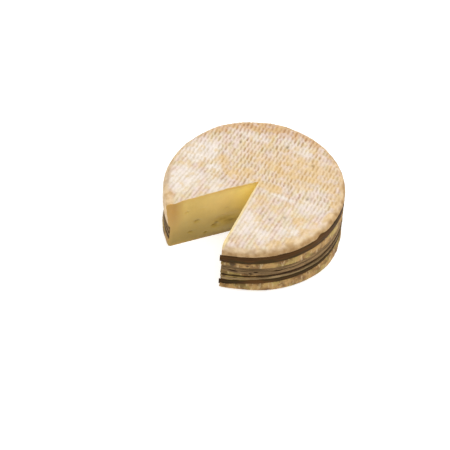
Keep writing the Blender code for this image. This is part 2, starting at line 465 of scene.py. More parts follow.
def groove_depth(angle, height):
    """How far the straps press the rind in."""
    pressed = np.zeros_like(height)
    for name in STRAPS:
        pressed = np.maximum(pressed, soft_step(LIP_WIDTH, 0.0, outside_strap(name, angle, height)))
    closed = overgrown(angle) * soft_step(0.0012, 0.0, outside_strap("strap_top", angle, height))
    return GROOVE_DEPTH * pressed * (1.0 - closed) - 0.0005 * closed


def patch_mask(x, y, patches, seed):
    """Where a list of soft-edged patches lies: 0 outside them, up to each one's strength inside."""
    flat = flat_points(x, y)
    edge = 0.38 * soft_noise(flat, 0.0045, seed) + 0.22 * soft_noise(flat, 0.0018, seed + 1)
    mask = np.zeros_like(x)
    for middle_x, middle_y, half_length, half_width, tilt, strength in patches:
        along, across = turned(x / MM - middle_x, y / MM - middle_y, tilt)
        away = np.hypot(along / half_length, across / half_width) + edge
        mask = np.maximum(mask, strength * soft_step(1.35, 0.55, away))
    return mask


# Modelling steps

def deselect_all():
    if bpy.context.object and bpy.context.object.mode != "OBJECT":
        bpy.ops.object.mode_set(mode="OBJECT")
    bpy.ops.object.select_all(action="DESELECT")


def make_active(piece):
    deselect_all()
    piece.select_set(True)
    bpy.context.view_layer.objects.active = piece


def add_grid(name, cells_along, cells_across):
    """A flat grid, with each corner's share of the way along and across."""
    deselect_all()
    bpy.ops.mesh.primitive_grid_add(x_subdivisions=cells_along, y_subdivisions=cells_across, size=1.0)
    piece = bpy.context.object
    piece.name = name
    piece.data.name = name
    points = get_points(piece)
    along = np.round((points[:, 0] + 0.5) * cells_along) / cells_along
    across = np.round((points[:, 1] + 0.5) * cells_across) / cells_across
    return piece, along, across


def edit_selected(piece, chosen, mode="VERT"):
    """Enters edit mode with just the chosen corners, edges or faces selected."""
    make_active(piece)
    bpy.ops.object.mode_set(mode="EDIT")
    bpy.ops.mesh.select_mode(type=mode)
    bpy.ops.mesh.select_all(action="DESELECT")
    bpy.ops.object.mode_set(mode="OBJECT")
    parts = {"VERT": piece.data.vertices, "EDGE": piece.data.edges, "FACE": piece.data.polygons}[mode]
    parts.foreach_set("select", np.asarray(chosen, dtype=bool))
    bpy.ops.object.mode_set(mode="EDIT")


def leave_edit():
    bpy.ops.object.mode_set(mode="OBJECT")


def edit_whole(piece, step, **settings):
    """Runs one edit-mode step on the whole piece."""
    edit_selected(piece, np.ones(len(piece.data.vertices)))
    step(**settings)
    leave_edit()


def merge_seams(piece):
    edit_whole(piece, bpy.ops.mesh.remove_doubles, threshold=0.000002)


def face_outwards(piece):
    edit_whole(piece, bpy.ops.mesh.normals_make_consistent, inside=False)


def join(name, pieces):
    make_active(pieces[0])
    for piece in pieces[1:]:
        piece.select_set(True)
    bpy.ops.object.join()
    pieces[0].name = name
    pieces[0].data.name = name
    return pieces[0]


def smooth(piece, degrees):
    make_active(piece)
    bpy.ops.object.shade_smooth_by_angle(angle=math.radians(degrees))


def from_axis(x, y, height):
    """Points in the part's frame, from their places round the wheel's axis."""
    return np.stack([x + WHEEL_AXIS[0], y + WHEEL_AXIS[1], height], axis=1)


def to_row_frame(angle, distance, height):
    return from_axis(distance * np.cos(angle), distance * np.sin(angle), height)


# The wheel: side, top and foot

def side_rows():
    """Shares of the way through each band of the side, from the foot's inner edge to the top."""
    rows = []
    bands = (20, 2, 2, 2, 2, 1, 2, 4, 13, 4, 18)
    for band, count in enumerate(bands):
        rows += [(band, step / count) for step in range(count)]
    return rows + [(len(bands), 0.0), (len(bands), 0.5), (len(bands), 1.0)]


def add_side():
    """The wall, rolled up from a grid whose rows follow the straps' edges."""
    rows = side_rows()
    piece, along, across = add_grid("rind_side", WALL_COLUMNS, len(rows) - 1)
    angle = 2 * math.pi * along
    columns = 2 * math.pi * np.arange(WALL_COLUMNS + 1) / WALL_COLUMNS
    column = np.round(along * WALL_COLUMNS).astype(int)
    lift = around(TOP_HEIGHT, columns) / WHEEL_HEIGHT
    knots = [np.zeros_like(columns)]
    for name in STRAPS:
        knots += [outline_length(height / lift) for height in strap_edges(name, columns)]
    knots += [np.full_like(columns, OUTLINE_LENGTH), np.full_like(columns, OUTLINE_LENGTH + TOP_RING)]
    row = np.round(across * (len(rows) - 1)).astype(int)
    knots = np.array(knots + knots[-1:])
    band = np.array([place for place, share in rows])[row]
    share = np.array([share for place, share in rows])[row]
    length = knots[band, column] * (1.0 - share) + knots[band + 1, column] * share
    radius, height, outward, upward = outline_at(length)
    height = lifted(angle, radius, height)
    distance = grown(angle, radius) + overhang(angle, height)
    points = to_row_frame(angle, distance, height)
    x = distance * np.cos(angle)
    y = distance * np.sin(angle)
    level = np.maximum(upward, 0.0) ** 2
    step = level * top_relief(x, y) + (1.0 - level) * side_relief(points, angle, height)
    step = step - groove_depth(angle, height) * (1.0 - level)
    step = np.where(upward < 0.0, step * (1.0 + upward), step)
    points = to_row_frame(angle, distance + step * outward, np.maximum(height + step * upward, 0.0))
    set_points(piece, points)
    merge_seams(piece)
    return piece


def add_disc(name, cell_across, cell_along, upwards):
    """The top or the foot: a grid along the ridges, trimmed to a disc."""
    reach = WHEEL_RADIUS - (TOP_ROUNDING if upwards else FOOT_ROUNDING)
    trim = reach - (TOP_RING if upwards else 0.0) - RING_GAP
    piece, along, across = add_grid(name, round(2 * trim / cell_along), round(2 * trim / cell_across))
    ahead = (along - 0.5) * 2 * trim
    aside = (across - 0.5) * 2 * trim
    set_points(piece, flat_points(ahead, aside))
    edit_selected(piece, np.hypot(ahead, aside) > trim)
    bpy.ops.mesh.delete(type="VERT")
    leave_edit()
    ahead, aside = get_points(piece)[:, :2].T
    angle = np.arctan2(aside, ahead) + math.radians(RIDGE_DEGREES)
    distance = np.where(rim_corners(piece), trim, np.hypot(ahead, aside))
    x = distance * np.cos(angle)
    y = distance * np.sin(angle)
    if upwards:
        x, y = x * around(REACH, angle) / WHEEL_RADIUS, y * around(REACH, angle) / WHEEL_RADIUS
        height = lifted(angle, distance, WHEEL_HEIGHT) + top_relief(x, y)
    else:
        height = 0.00025 * mat_print(x, y) * soft_step(trim, trim - 0.006, distance)
    set_points(piece, from_axis(x, y, height))
    if not upwards:
        edit_whole(piece, bpy.ops.mesh.flip_normals)
    return piece


def open_edges(piece):
    """For each edge, whether only one face has it."""
    counts = np.zeros(len(piece.data.edges), dtype=int)
    loops = np.zeros(len(piece.data.loops), dtype=int)
    piece.data.loops.foreach_get("edge_index", loops)
    np.add.at(counts, loops, 1)
    return counts == 1


def edge_ends(piece):
    ends = np.zeros(len(piece.data.edges) * 2, dtype=int)
    piece.data.edges.foreach_get("vertices", ends)
    return ends.reshape(-1, 2)


def rim_corners(piece):
    """The corners that lie on an open edge."""
    chosen = np.zeros(len(piece.data.vertices), dtype=bool)
    chosen[edge_ends(piece)[open_edges(piece)].ravel()] = True
    return chosen


def close_ring(piece, above):
    """Bridges the narrow ring between the wall and the top, or between the wall and the foot."""
    heights = get_points(piece)[edge_ends(piece)[:, 0], 2]
    side = heights > WHEEL_HEIGHT / 2 if above else heights < WHEEL_HEIGHT / 2
    edit_selected(piece, open_edges(piece) & side, mode="EDGE")
    bpy.ops.mesh.bridge_edge_loops()
    leave_edit()


def add_whole_wheel():
    side = add_side()
    top = add_disc("rind_top", TOP_CELL_ACROSS, TOP_CELL_ALONG, upwards=True)
    foot = add_disc("rind_foot", FOOT_CELL, FOOT_CELL, upwards=False)
    wheel = join("cheese_wheel", [side, top, foot])
    close_ring(wheel, above=True)
    close_ring(wheel, above=False)
    face_outwards(wheel)
    return wheel


# Eyes and tears in each cut's face, in millimetres: distance from the cuts' point, height, half length,
# half height, depth
EYES = {
    "left": ((50, 29, 1.6, 0.6, 0.8), (42.4, 18, 2.2, 0.9, 1.2), (38, 28.5, 3, 0.5, 0.4),
             (29.5, 9.8, 2.6, 1, 1.4), (21.5, 23.5, 1.2, 0.5, 0.5), (47, 9, 2, 0.7, 0.9),
             (36, 5, 1.5, 0.6, 0.8)),
    "right": ((47, 25, 2.4, 0.7, 0.9), (33, 13, 2, 0.8, 1), (26, 27, 1.4, 0.6, 0.6),
              (52, 11, 1.7, 0.6, 0.8), (40, 7, 2.2, 0.6, 0.7)),
}


# Where both cut faces fold in, or bulge out if less than 0: the same measures
CUT_FOLDS = ((22.5, 14.5, 7.5, 2.6, 1.3), (22.5, 8, 8.5, 4.2, -1))


def cut_relief(side, reach, height):
    """How far a cut face stands in from the knife's straight path: slow waves, drag lines and eyes."""
    place = np.stack([reach, height, np.full_like(reach, 0.1 if side == "left" else 0.2)], axis=1)
    away = soft_step(0.001, 0.012, reach)
    depth = 0.00030 * away * soft_noise(place, 0.0130, 51)
    if side == "left":
        bow = np.sin(math.pi * np.clip((reach - 0.003) / 0.052, 0.0, 1.0))
        depth += bow * 0.0004 * soft_step(0.018, 0.040, height)
        depth += 0.00022 * soft_step(0.026, 0.040, height) * soft_noise(place, 0.0045, 54)
    else:
        depth -= 0.0006 * soft_step(0.010, 0.060, reach)
    depth += 0.00005 * away * soft_noise(place * (1.0, 0.15, 1.0), 0.0012, 52)
    depth += 0.00004 * soft_noise(place, 0.0022, 53)
    for *oval, size in CUT_FOLDS:
        depth += size * MM * away * np.exp(-oval_away(reach / MM, height, *oval) ** 2)
    for *oval, size in EYES[side]:
        depth += size * MM * np.exp(-oval_away(reach / MM, height, *oval) ** 3)
    return depth


def add_knife():
    """The wedge that is taken out: two wavy faces that meet in the wheel's middle, closed round the back."""
    reach = WHEEL_RADIUS + KNIFE_MARGIN_ROUND
    low, high = -KNIFE_MARGIN, WHEEL_HEIGHT + KNIFE_MARGIN
    piece, along, across = add_grid("knife", 2 * round(reach / CUT_CELL), round((high - low) / CUT_CELL))
    height = low + (high - low) * across
    distance = np.abs(along - 0.5) * 2 * reach
    x = np.full_like(along, CUT_POINT[0])
    y = np.full_like(along, CUT_POINT[1])
    for side, degrees, chosen, outwards in (("left", LEFT_CUT_DEGREES, along <= 0.5, -1.0),
                                            ("right", RIGHT_CUT_DEGREES, along > 0.5, 1.0)):
        turn = math.radians(degrees)
        depth = cut_relief(side, distance, height) * soft_step(0.0, 0.0015, distance)
        x = np.where(chosen, x + distance * math.cos(turn) - outwards * depth * math.sin(turn), x)
        y = np.where(chosen, y + distance * math.sin(turn) + outwards * depth * math.cos(turn), y)
    set_points(piece, from_axis(x, y, height))
    for place in (low, high, None):
        level = get_points(piece)[edge_ends(piece)][:, :, 2]
        chosen = True if place is None else (np.abs(level - place) < 1e-5).all(axis=1)
        edit_selected(piece, open_edges(piece) & chosen, mode="EDGE")
        bpy.ops.mesh.edge_face_add()
        leave_edit()
    face_outwards(piece)
    return piece


def cut_wedge(wheel, knife):
    boolean = wheel.modifiers.new("wedge", "BOOLEAN")
    boolean.operation = "DIFFERENCE"
    boolean.solver = "EXACT"
    boolean.object = knife
    make_active(wheel)
    bpy.ops.object.modifier_apply(modifier=boolean.name)
    bpy.data.objects.remove(knife, do_unlink=True)


def paint_wheel(wheel):
    """Writes the rind's colour masks, worked out from where each corner lies."""
    points = get_points(wheel)
    angle, distance = polar(points)
    x = points[:, 0] - WHEEL_AXIS[0]
    y = points[:, 1] - WHEEL_AXIS[1]
    height = points[:, 2]
    flat = flat_points(x, y)
    closed = overgrown(angle)
    low, high = strap_edges("strap_top", angle)
    above = height - high + closed * (high - low)
    side = soft_step(0.0008, 0.0, above + 0.0005 * soft_noise(points, 0.003, 61))
    bloom = patch_mask(x, y, WHITE_PATCHES, 66) * (1.0 - side)
    printed = mat_print(x, y) * (0.25 + 0.75 * ridge_share(x, y)) * (1.0 - 0.25 * bloom)
    closed_rind = 0.9 * closed * soft_step(0.0030, 0.0008, WHEEL_RADIUS - distance)
    gold = np.maximum(patch_mask(x, y, GOLD_PATCHES, 62), closed_rind)
    inward = WHEEL_RADIUS - distance + 0.0010 * soft_noise(flat, 0.006, 63)
    rim_width = np.interp(np.degrees(angle), *zip(*RIM_WIDTH), period=360.0)
    # Painted shade: the side is coloured darker in a band just above the top strap.
    lip_shade = soft_step(0.0070, 0.0030, above + 0.0012 * soft_noise(points, 0.005, 69))
    waver = 0.0003 * soft_noise(flat, 0.003, 68)
    bright = soft_step(0.0015, 0.0003, cut_nearness(x, y, RIGHT_CUT_DEGREES) + waver)
    # This dark mask holds painted shade round the straps as well as stains, darker cracks and pits.
    stain_and_shade = 0.9 * side * side_stain_and_shade(points, angle, height)
    for pit in PITS:
        stain_and_shade = np.maximum(stain_and_shade, 0.5 * round_spot(x, y, *pit))
    masks = {
        "side": side,
        "crest": 1.0 - printed,
        "bloom": bloom,
        "gold": gold * (1.0 - side),
        "brown": patch_mask(x, y, BROWN_PATCHES, 64) * (1.0 - side),
        "rim": soft_step(rim_width, 0.4 * rim_width, inward) * (1.0 - side),
        "lip_shade": lip_shade * soft_step(0.0027, 0.0008, inward) * (1.0 - closed),
        # Painted shade in the creases of the left-hand cut's face and at its foot.
        "crease": crease_shade_share(x, y, height),
        "bright_edge": bright * soft_step(0.0350, 0.0395, height),
        "gold_edge": soft_step(0.0009, 0.0001, cut_nearness(x, y, LEFT_CUT_DEGREES) + waver),
        "stain_and_shade": stain_and_shade,
    }
    for name, values in masks.items():
        add_values(wheel, name, values)


def cut_nearness(x, y, degrees):
    """How far each point lies from a cut's plane. Points behind the notch's middle count as far off."""
    along, aside = turned(x - CUT_POINT[0], y - CUT_POINT[1], degrees)
    return np.where(along > 0.0, np.abs(aside), WHEEL_RADIUS)


# Painted shade in the creases of the left-hand cut's face and at its foot, in millimetres: distance from
# the cuts' point, height, half length, half height, strength
CREASE_SHADES = ((28.5, 12, 2.2, 0.7, 1.0), (24.5, 12.8, 3, 0.4, 0.7), (19, 11.4, 2.8, 0.9, 0.8),
           (42.4, 18.6, 1.6, 0.5, 0.6), (25, 1, 16, 2.6, 0.9))


def crease_shade_share(x, y, height):
    """How much painted shade darkens each point of the left-hand cut's face, in its creases and at its foot.
    """
    reach = turned(x - CUT_POINT[0], y - CUT_POINT[1], LEFT_CUT_DEGREES)[0]
    face = soft_step(0.0030, 0.0015, cut_nearness(x, y, LEFT_CUT_DEGREES))
    ragged = 0.4 * soft_noise(flat_points(reach, height), 0.0016, 74)
    share = np.zeros_like(x)
    for *oval, strength in CREASE_SHADES:
        away = oval_away(reach / MM, height, *oval) + ragged
        share = np.maximum(share, strength * soft_step(1.5, 0.3, away))
    return share * face


# Dark patches on the rind: angle, height in millimetres, half width in degrees, half height
RIND_STAINS = ((-58.5, 24.2, 2.3, 1.4), (-49, 24.3, 1, 0.9), (-25, 37.5, 1.6, 1), (-22, 22.5, 1.2, 0.8))


def side_stain_and_shade(points, angle, height):
    """Dark marks on the side: painted shade, partly real staining, where the straps press, darker lines along
    the cracks, and a few dark patches near the cut.
    """
    sparse = soft_step(0.0, 0.5, soft_noise(points, 0.0090, 72))
    stain_and_shade = 0.5 * sparse * soft_step(0.06, 0.0, crack_nearness(points))
    travelled = (np.degrees(angle) - RIGHT_CUT_DEGREES) % 360.0
    # Painted shade, partly real staining: a dark band between the pale and middle straps, and one round the
    # top strap.
    for low_strap, high_strap, strength, start in (("strap_pale", "strap_middle", 0.9, 22.0),
                                                   ("strap_top", "strap_top", 0.8, -5.0)):
        low, high = strap_edges(low_strap, angle)[0], strap_edges(high_strap, angle)[1]
        outside = np.maximum(low - height, height - high)
        shade = soft_step(0.0006, -0.0002, outside) * soft_step(start, start + 5.0, travelled)
        if low_strap == "strap_top":
            shade = shade * (1.0 - overgrown(angle))
        stain_and_shade = np.maximum(stain_and_shade, strength * shade)
    ragged = 0.35 * soft_noise(points, 0.0015, 71)
    for oval in RIND_STAINS:
        stain_and_shade = np.maximum(stain_and_shade, soft_step(1.3, 0.6, side_away(angle, height, *oval) + ragged))
    return stain_and_shade


# Shader node groups and materials

def add_node(tree, kind, settings=None, **inputs):
    """A node with its settings, and inputs that are values or the sockets that feed them."""
    node = tree.nodes.new(kind)
    for key, value in (settings or {}).items():
        setattr(node, key, value)
    for key, value in inputs.items():
        socket = node.inputs[int(key[1:]) if key[1:].isdigit() else key.replace("_", " ")]
        if isinstance(value, bpy.types.NodeSocket):
            tree.links.new(value, socket)
        else:
            socket.default_value = value
    return node


def attribute(tree, name):
    return add_node(tree, "ShaderNodeAttribute", {"attribute_name": name}).outputs["Fac"]


def calculate(tree, operation, first, second=0.0, third=0.0, clamp=False):
    settings = {"operation": operation, "use_clamp": clamp}
    return add_node(tree, "ShaderNodeMath", settings, _0=first, _1=second, _2=third).outputs[0]


def times(tree, first, second):
    return calculate(tree, "MULTIPLY", first, second)


def mix_colours(tree, share, first, second, blend="MIX"):
    settings = {"data_type": "RGBA", "blend_type": blend, "clamp_factor": True}
    return add_node(tree, "ShaderNodeMix", settings, _0=share, _6=first, _7=second).outputs[2]


def noise(tree, vector, scale, detail=3.0, roughness=0.5):
    node = add_node(tree, "ShaderNodeTexNoise", None, Vector=vector, Scale=scale, Detail=detail,
                    Roughness=roughness)
    return node.outputs["Fac"]


def remap(tree, value, low, high, to_low=0.0, to_high=1.0):
    settings = {"interpolation_type": "SMOOTHSTEP"}
    node = add_node(tree, "ShaderNodeMapRange", settings, Value=value, _1=low, _2=high, _3=to_low, _4=to_high)
    return node.outputs["Result"]


def object_place(tree):
    return tree.nodes.new("ShaderNodeTexCoord").outputs["Object"]


def stretched(tree, vector, scale):
    return add_node(tree, "ShaderNodeMapping", None, Vector=vector, Scale=scale).outputs["Vector"]


def new_group(name, ins, outs):
    tree = bpy.data.node_groups.new(name, "ShaderNodeTree")
    for socket_name, kind, value in ins:
        socket = tree.interface.new_socket(socket_name, in_out="INPUT", socket_type=kind)
        if value is not None:
            socket.default_value = value
    for socket_name, kind in outs:
        tree.interface.new_socket(socket_name, in_out="OUTPUT", socket_type=kind)
    start = tree.nodes.new("NodeGroupInput")
    end = tree.nodes.new("NodeGroupOutput")
    return tree, start.outputs, end.inputs


def use_group(tree, group, **inputs):
    return add_node(tree, "ShaderNodeGroup", {"node_tree": group}, **inputs).outputs


def new_material(name, **constants):
    """A material with its shader's unchanging values set on the shader itself."""
    material = bpy.data.materials.new(name)
    material.use_nodes = True
    tree = material.node_tree
    shader = tree.nodes["Principled BSDF"]
    for key, value in constants.items():
        shader.inputs[key.replace("_", " ")].default_value = value
    return material, tree, shader


def mottle_group():
    """Cloudy shading and a fine crumb, for rind and paste: a lighter or darker colour, and a height."""
    tree, ins, outs = new_group(
        "cheese_mottle",
        [("Place", "NodeSocketVector", None), ("Colour", "NodeSocketColor", None),
         ("Cloud Size", "NodeSocketFloat", 0.004), ("Crumb Size", "NodeSocketFloat", 0.0006),
         ("Amount", "NodeSocketFloat", 0.2)],
        [("Colour", "NodeSocketColor"), ("Height", "NodeSocketFloat")])
    cloud = noise(tree, ins["Place"], calculate(tree, "DIVIDE", 1.0, ins["Cloud Size"]), detail=3.0)
    crumb = noise(tree, ins["Place"], calculate(tree, "DIVIDE", 1.0, ins["Crumb Size"]), detail=2.0)
    both = calculate(tree, "MULTIPLY_ADD", crumb, 0.6, times(tree, cloud, 1.4))
    change = times(tree, calculate(tree, "SUBTRACT", both, 1.0), ins["Amount"])
    value = calculate(tree, "ADD", change, 1.0)
    shaded = add_node(tree, "ShaderNodeHueSaturation", None, Value=value, Color=ins["Colour"])
    tree.links.new(shaded.outputs["Color"], outs["Colour"])
    tree.links.new(crumb, outs["Height"])
    return tree


def fibre_group():
    """Dried leaf: long fibres along the strap. Gives the fibre mask, a fine speck mask and a height."""
    tree, ins, outs = new_group(
        "sedge_fibre",
        [("Grain", "NodeSocketVector", None)],
        [("Fibre", "NodeSocketFloat"), ("Speck", "NodeSocketFloat"), ("Height", "NodeSocketFloat")])
    coarse, fine, specks = (
        noise(tree, stretched(tree, ins["Grain"], scale), 1.0, detail=detail)
        for scale, detail in (((55.0, 1500.0, 40.0), 2.0), ((160.0, 4200.0, 40.0), 2.0),
                              ((700.0, 1500.0, 60.0), 1.0)))
    fibre = calculate(tree, "MULTIPLY_ADD", fine, 0.45, times(tree, coarse, 0.55))
    tree.links.new(remap(tree, fibre, 0.36, 0.64), outs["Fibre"])
    tree.links.new(remap(tree, specks, 0.66, 0.76), outs["Speck"])
    tree.links.new(fibre, outs["Height"])
    return tree


def feed_shader(tree, shader, colour, roughness, height, distance, strength):
    """Gives a shader its colour, its roughness, and bumps of that distance and strength."""
    bump = add_node(tree, "ShaderNodeBump", None, Height=height, Distance=distance, Strength=strength)
    fed = {"Base Color": colour, "Roughness": roughness, "Normal": bump.outputs["Normal"]}
    for name, socket in fed.items():
        tree.links.new(socket, shader.inputs[name])


def rind_material(mottle):
    """Washed rind: cream between olive-tan grooves, with golden, brown and white patches."""
    material, tree, shader = new_material("washed_rind", Metallic=0.0, Specular_IOR_Level=0.25)
    place = object_place(tree)
    turned = add_node(tree, "ShaderNodeMapping", None, Vector=place,
                      Rotation=(0.0, 0.0, -math.radians(RIDGE_DEGREES))).outputs["Vector"]
    dashes = noise(tree, stretched(tree, turned, (170.0, 400.0, 300.0)), 1.0, detail=2.0)
    hues = noise(tree, stretched(tree, turned, (110.0, 230.0, 200.0)), 1.0, detail=2.0)
    grain = noise(tree, place, 700.0, detail=3.0)
    crest = attribute(tree, "crest")
    crest = calculate(tree, "ADD", crest, calculate(tree, "MULTIPLY_ADD", grain, 0.80, -0.40))
    crest = calculate(tree, "ADD", crest, calculate(tree, "MULTIPLY_ADD", dashes, 0.70, -0.35), clamp=True)
    hue = remap(tree, hues, 0.40, 0.60)
    cream = mix_colours(tree, hue, shown(239, 223, 194), shown(240, 218, 201))
    tan = mix_colours(tree, hue, shown(186, 157, 108), shown(181, 143, 110))
    colour = mix_colours(tree, crest, tan, cream)
    for mask, groove, ridge in (("gold", (206, 167, 108), (238, 208, 164)),
                                ("bloom", (208, 188, 156), (247, 236, 224)),
                                ("brown", (184, 136, 88), (226, 190, 148))):
        patch = mix_colours(tree, crest, shown(*groove), shown(*ridge))
        colour = mix_colours(tree, attribute(tree, mask), colour, patch)
    spots = noise(tree, place, 210.0, detail=2.0)
    colour = mix_colours(tree, remap(tree, spots, 0.52, 0.70, 0.0, 0.50), colour, shown(228, 194, 134))
    colour = mix_colours(tree, remap(tree, spots, 0.48, 0.32, 0.0, 0.40), colour, shown(243, 228, 224))
    rim_noise = remap(tree, noise(tree, place, 230.0, detail=3.0), 0.36, 0.64)
    rim = mix_colours(tree, rim_noise, shown(190, 156, 110, LIGHT_ON_RIM), shown(224, 197, 158, LIGHT_ON_RIM))
    # Painted shade: darker tan for the band of the side just above the top strap.
    lip_shade = mix_colours(tree, rim_noise, on_side(140, 106, 62), on_side(166, 134, 90))
    for mask, strength, laid_over in (("rim", 0.7, rim), ("lip_shade", 0.9, lip_shade),
                                      ("bright_edge", 0.8, shown(246, 222, 158)),
                                      ("gold_edge", 0.7, shown(222, 190, 130))):
        colour = mix_colours(tree, times(tree, attribute(tree, mask), strength), colour, laid_over)
    streak = noise(tree, stretched(tree, place, (1.0, 1.0, 0.30)), 480.0, detail=2.0)
    blotch = noise(tree, place, 150.0, detail=4.0, roughness=0.6)
    wall_hue = remap(tree, noise(tree, place, 110.0, detail=2.0), 0.42, 0.58)
    light = mix_colours(tree, wall_hue, on_side(156, 131, 74), on_side(162, 128, 78))
    dark = mix_colours(tree, wall_hue, on_side(104, 82, 38), on_side(112, 80, 42))
    wall = mix_colours(tree, remap(tree, blotch, 0.38, 0.62), dark, light)
    pale = times(tree, remap(tree, streak, 0.54, 0.72), 0.5)
    wall = mix_colours(tree, pale, wall, on_side(192, 168, 126))
    colour = mix_colours(tree, attribute(tree, "side"), colour, wall)
    # Painted shade round the straps, with stains, darker cracks and pits, all laid on from one mask.
    colour = mix_colours(tree, attribute(tree, "stain_and_shade"), colour, on_side(66, 46, 24))
    mottled = use_group(tree, mottle, Place=place, Colour=colour, Cloud_Size=0.005, Crumb_Size=0.0007,
                        Amount=0.20)
    roughness = remap(tree, blotch, 0.3, 0.7, 0.64, 0.82)
    feed_shader(tree, shader, mottled["Colour"], roughness, mottled["Height"], 0.00012, 0.6)
    return material


def paste_material(mottle):
    """Soft golden paste: olive at its foot and browner toward the rind, both partly painted shade, with a
    dark line along its top edge.
    """
    material, tree, shader = new_material("golden_paste", Metallic=0.0, Specular_IOR_Level=0.45,
                                          Subsurface_Weight=0.15, Subsurface_Radius=(1.0, 0.7, 0.35),
                                          Subsurface_Scale=0.0012)
    place = object_place(tree)
    parts = add_node(tree, "ShaderNodeSeparateXYZ", None, _0=place).outputs
    level = add_node(tree, "ShaderNodeCombineXYZ", None, X=parts["X"], Y=parts["Y"]).outputs["Vector"]
    distance = add_node(tree, "ShaderNodeVectorMath", {"operation": "DISTANCE"}, _0=level,
                        _1=(*WHEEL_AXIS, 0.0)).outputs["Value"]
    inward = calculate(tree, "SUBTRACT", WHEEL_RADIUS, distance)
    below = calculate(tree, "SUBTRACT", WHEEL_HEIGHT, parts["Z"])
    depth = calculate(tree, "MINIMUM", calculate(tree, "MINIMUM", inward, below), parts["Z"])
    waver = calculate(tree, "MULTIPLY_ADD", noise(tree, place, 300.0), 0.0010, -0.0005)
    depth = calculate(tree, "ADD", depth, waver)
    # Painted shade, in part: the paste darkens and turns olive toward its foot.
    high = remap(tree, parts["Z"], 0.001, 0.036)
    colour = mix_colours(tree, high, on_cut(148, 125, 52), on_cut(213, 186, 116))
    inner = times(tree, remap(tree, distance, 0.022, 0.004), high)
    colour = mix_colours(tree, inner, colour, on_cut(228, 206, 122))
    # Painted shade: a darkening multiplied over the paste's outer half, toward the rind.
    colour = mix_colours(tree, remap(tree, distance, 0.020, 0.046), colour, (0.75, 0.71, 0.54, 1.0),
                         blend="MULTIPLY")
    outer = times(tree, remap(tree, distance, 0.047, 0.058), high)
    line = remap(tree, calculate(tree, "ADD", below, waver), 0.0007, 0.0002)
    # The crease mask is painted shade, in the creases and at the foot of the left-hand cut's face.
    for mask, strength, laid_over in ((outer, 0.9, on_cut(152, 110, 42)),
                                      (remap(tree, depth, 0.0036, 0.0006), 0.25, on_cut(178, 140, 68)),
                                      (attribute(tree, "crease"), 0.6, on_cut(104, 82, 28)),
                                      (line, 0.6, on_cut(194, 158, 84))):
        colour = mix_colours(tree, times(tree, mask, strength), colour, laid_over)
    mottled = use_group(tree, mottle, Place=place, Colour=colour, Cloud_Size=0.006, Crumb_Size=0.0010,
                        Amount=0.14)
    roughness = remap(tree, mottled["Height"], 0.3, 0.7, 0.42, 0.60)
    feed_shader(tree, shader, mottled["Colour"], roughness, mottled["Height"], 0.00008, 0.5)
    return material


def sedge_material(name, fibre, dark, light, other, speck_colour, speck_share, gloss=0.55):
    """Dried sedge: light and dark fibres along the leaf, a second hue in places, small dark specks, and
    painted shade in the splits between fibres. Colours are as they show on the side.
    """
    material, tree, shader = new_material(name, Metallic=0.0, Specular_IOR_Level=0.05)
    grain = add_node(tree, "ShaderNodeAttribute", {"attribute_name": "grain"}).outputs["Vector"]
    fibres = use_group(tree, fibre, Grain=grain)
    shade = times(tree, attribute(tree, "shade"), 0.7)
    lightness = calculate(tree, "MULTIPLY_ADD", fibres["Fibre"], 0.5, shade, clamp=True)
    colour = mix_colours(tree, lightness, on_side(*dark), on_side(*light))
    hue = remap(tree, noise(tree, stretched(tree, grain, (70.0, 260.0, 40.0)), 1.0, detail=2.0), 0.45, 0.65)
    # The last colour laid on is painted shade in the splits between fibres.
    for mask, laid_over in ((times(tree, hue, 0.6), other),
                            (times(tree, fibres["Speck"], speck_share), speck_colour),
                            (attribute(tree, "split_shade"), (44, 28, 12))):
        colour = mix_colours(tree, mask, colour, on_side(*laid_over))
    roughness = remap(tree, fibres["Fibre"], 0.0, 1.0, gloss, gloss + 0.2)
    feed_shader(tree, shader, colour, roughness, fibres["Height"], 0.00010, 0.7)
    return material


# The straps

def strap_place(along, height, offset):
    """Puts points on the wheel's side: share of the way between the cuts, height, offset from the rind."""
    angle = between_cuts(along)
    distance = side_radius(angle, height) + offset
    angle = between_cuts(along, distance)
    return to_row_frame(angle, distance, height)


def finish_band(piece, angle, height, middle, shift, shade):
    """Closes a rolled-up band along its seam and at both ends, and notes its grain, its tone and the painted
    shade of its splits.
    """
    grain = np.stack([angle * WHEEL_RADIUS, height - middle, np.full_like(angle, shift)], axis=1)
    vectors = piece.data.attributes.new("grain", "FLOAT_VECTOR", "POINT")
    vectors.data.foreach_set("vector", np.asarray(grain, dtype=np.float32).ravel())
    add_values(piece, "shade", shade)
    add_values(piece, "split_shade", split_share(angle, height))
    merge_seams(piece)
    edit_whole(piece, bpy.ops.mesh.fill_holes, sides=0)
    face_outwards(piece)


# Painted shade in the splits between fibres: angle, height in millimetres, half width in degrees, half height
SPLITS = ((-63, 13, 2.5, 0.5), (-58, 18.2, 3.5, 0.6), (-50.5, 16.4, 1, 1), (-47, 17.2, 1.3, 0.8),
          (-43.5, 19, 1.2, 0.6), (-30, 19.6, 4, 0.5), (-9, 17.8, 2.2, 0.8), (1, 16.7, 3, 0.6),
          (7, 17.8, 1.8, 0.8), (13.5, 17.6, 3.2, 0.7), (21, 16.8, 3, 0.6))


def split_share(angle, height):
    """How far into one of the splits, darkened with painted shade, each point lies, 0 to 1."""
    share = np.zeros_like(angle)
    ragged = 0.35 * soft_noise(flat_points(angle * WHEEL_RADIUS, height), 0.0012, 73)
    for oval in SPLITS:
        share = np.maximum(share, soft_step(1.4, 0.5, side_away(angle, height, *oval) + ragged))
    return share


def run_noise(angle, row, size, seed, layers=1):
    """Noise that runs along the strap, its own for each row."""
    places = flat_points(angle * WHEEL_RADIUS, row * np.ones_like(angle))
    return rough_noise(places, size, seed, layers)


# A blade's steps along it, across its face and across its back
BLADE_CELLS = 560
BLADE_FACE = 10
BLADE_BACK = 4


